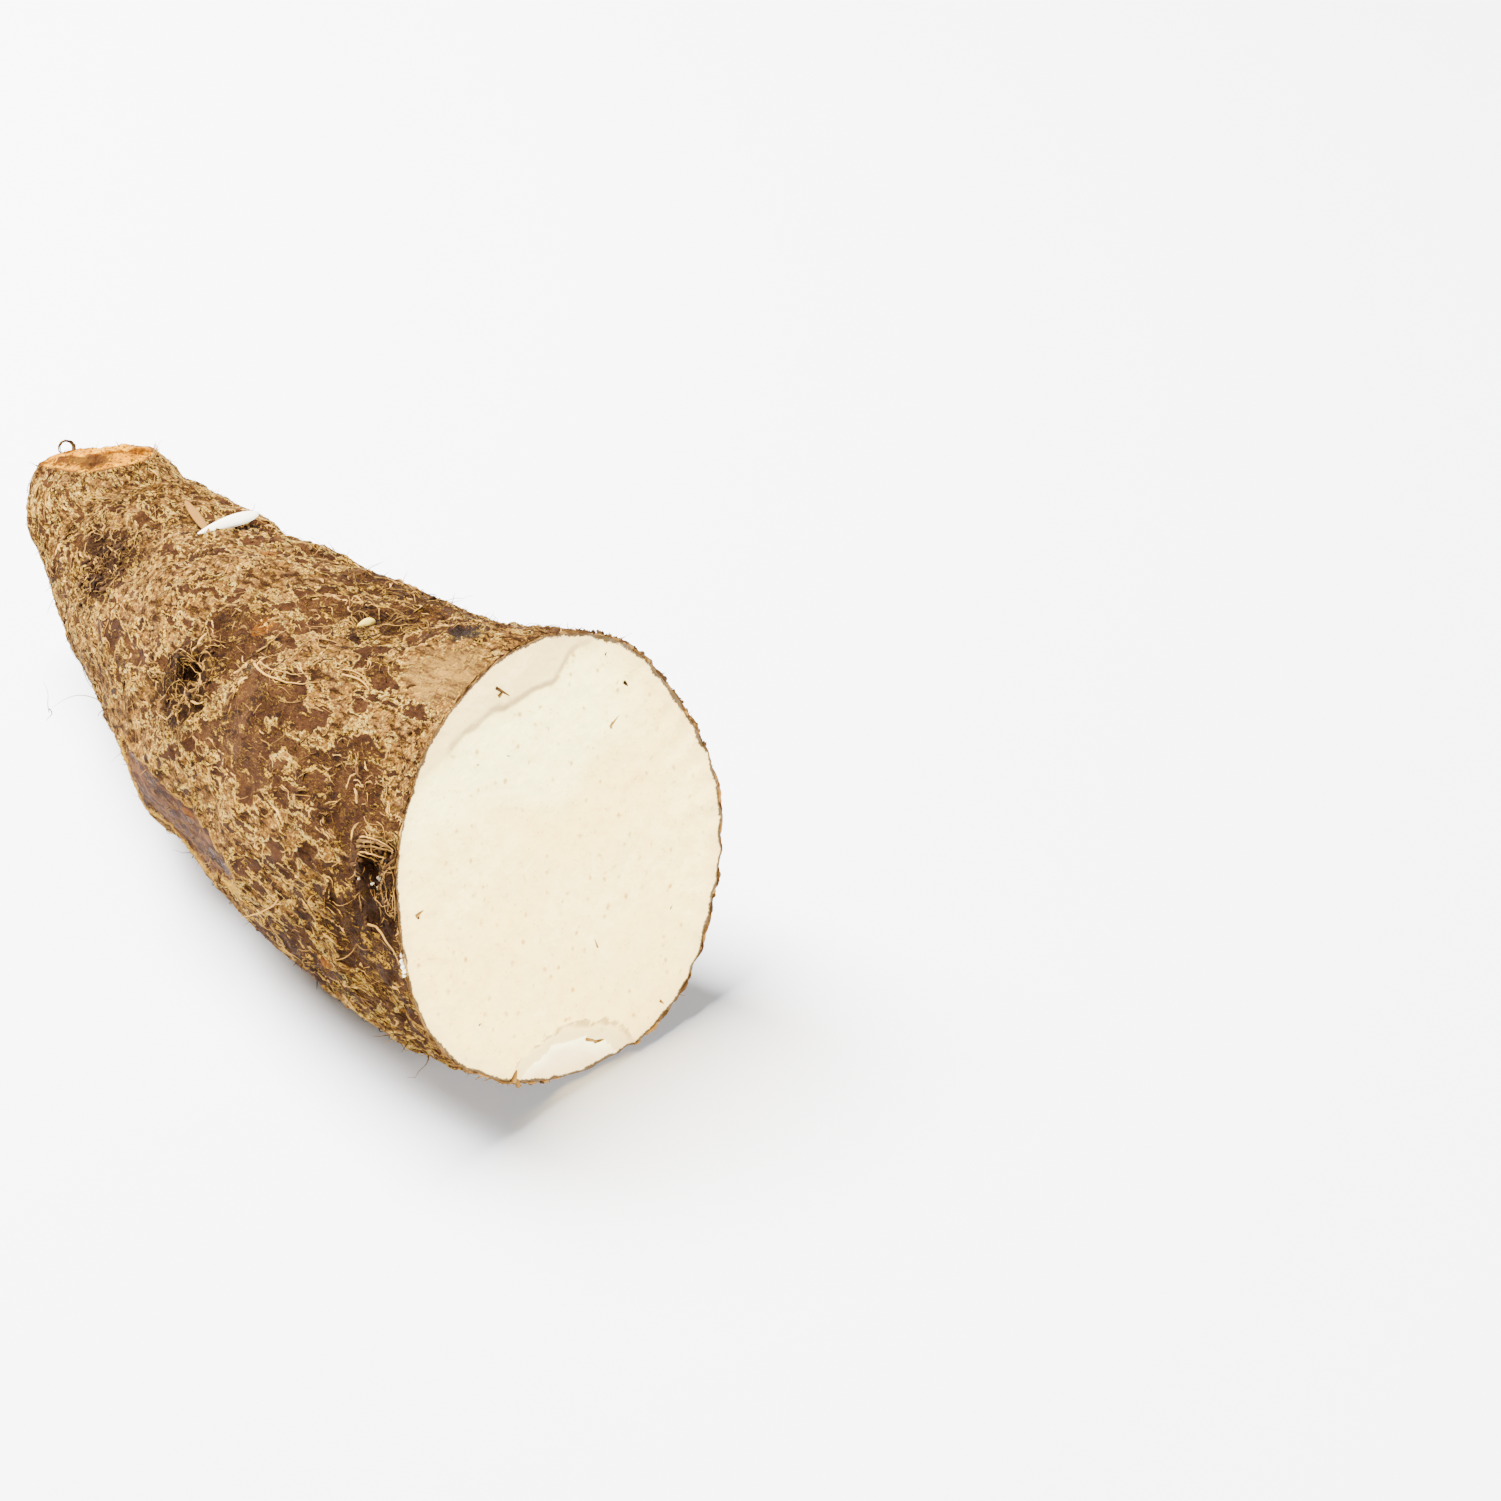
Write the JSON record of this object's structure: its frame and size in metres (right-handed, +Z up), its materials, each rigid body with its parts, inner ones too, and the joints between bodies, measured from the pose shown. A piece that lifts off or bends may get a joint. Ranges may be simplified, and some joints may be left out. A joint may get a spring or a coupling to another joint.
{
  "type": "halved malanga tuber",
  "caption": "Half of a brown, shaggy-skinned malanga tuber, cut across to show cream-white flesh and lying on its belly with its neck turned up.",
  "frame": {"origin": "on the table under the middle of the tuber's box", "axes": "+X along the tuber from its neck towards its fresh cut, +Z up"},
  "size_m": [0.1972, 0.0786, 0.0702],
  "materials": {
    "skin": "dry, papery brown skin with raised pale edges",
    "flesh": "smooth, moist, cream-white flesh",
    "old_cut": "dried, rough, orange-tan flesh"
  },
  "bodies": {
    "root": {"malanga_half": "skin"}
  },
  "joints": []
}
